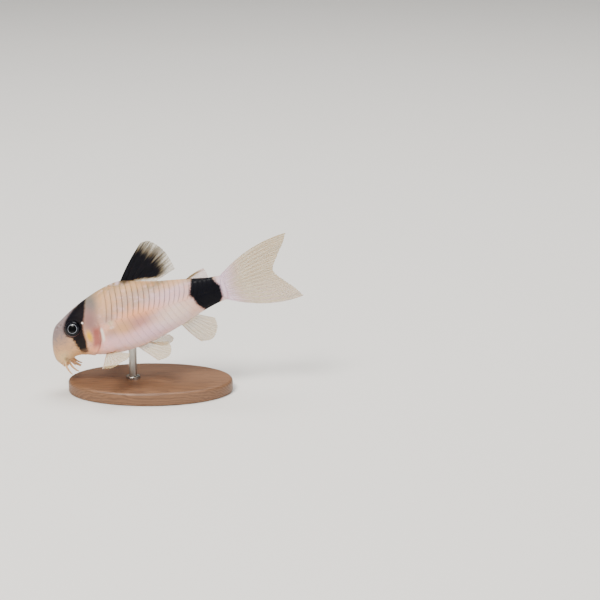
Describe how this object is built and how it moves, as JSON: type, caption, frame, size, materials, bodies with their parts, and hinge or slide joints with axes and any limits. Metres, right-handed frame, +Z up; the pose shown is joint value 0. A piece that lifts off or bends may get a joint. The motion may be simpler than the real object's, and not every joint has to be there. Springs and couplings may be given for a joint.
{
  "type": "panda corydoras catfish display model",
  "caption": "Life-size panda corydoras catfish, nose down with fins spread, held by a short rod on a flat oval base.",
  "frame": {"origin": "middle of the flat underside of the oval base, where it rests on a table", "axes": "+Z up, -X the way the snout points, and the fish's left side faces -Y"},
  "size_m": [0.0472, 0.0214, 0.0303],
  "materials": {
    "skin": "satin painted resin, pinkish beige with a black eye mask and a black tail spot",
    "eye": "gloss, black with a fine silver ring",
    "dorsal_fin": "black, fading to clear at the tip",
    "clear_fin": "translucent pale beige with fine rays",
    "barbel": "soft pinkish beige",
    "stand_wood": "oiled, fine grain",
    "stand_steel": "brushed"
  },
  "bodies": {
    "root": {"head": "skin", "trunk": "skin", "caudal_peduncle": "skin", "eye_left": "eye", "eye_right": "eye", "dorsal_fin": "dorsal_fin", "adipose_fin": "clear_fin", "caudal_fin": "clear_fin", "anal_fin": "clear_fin", "pectoral_fin_left": "clear_fin", "pectoral_fin_right": "clear_fin", "pelvic_fin_left": "clear_fin", "pelvic_fin_right": "clear_fin", "barbel_upper_left": "barbel", "barbel_upper_right": "barbel", "barbel_lower_left": "barbel", "barbel_lower_right": "barbel", "barbel_chin_left": "barbel", "barbel_chin_right": "barbel", "stand_base": "stand_wood", "stand_rod": "stand_steel"}
  },
  "joints": []
}
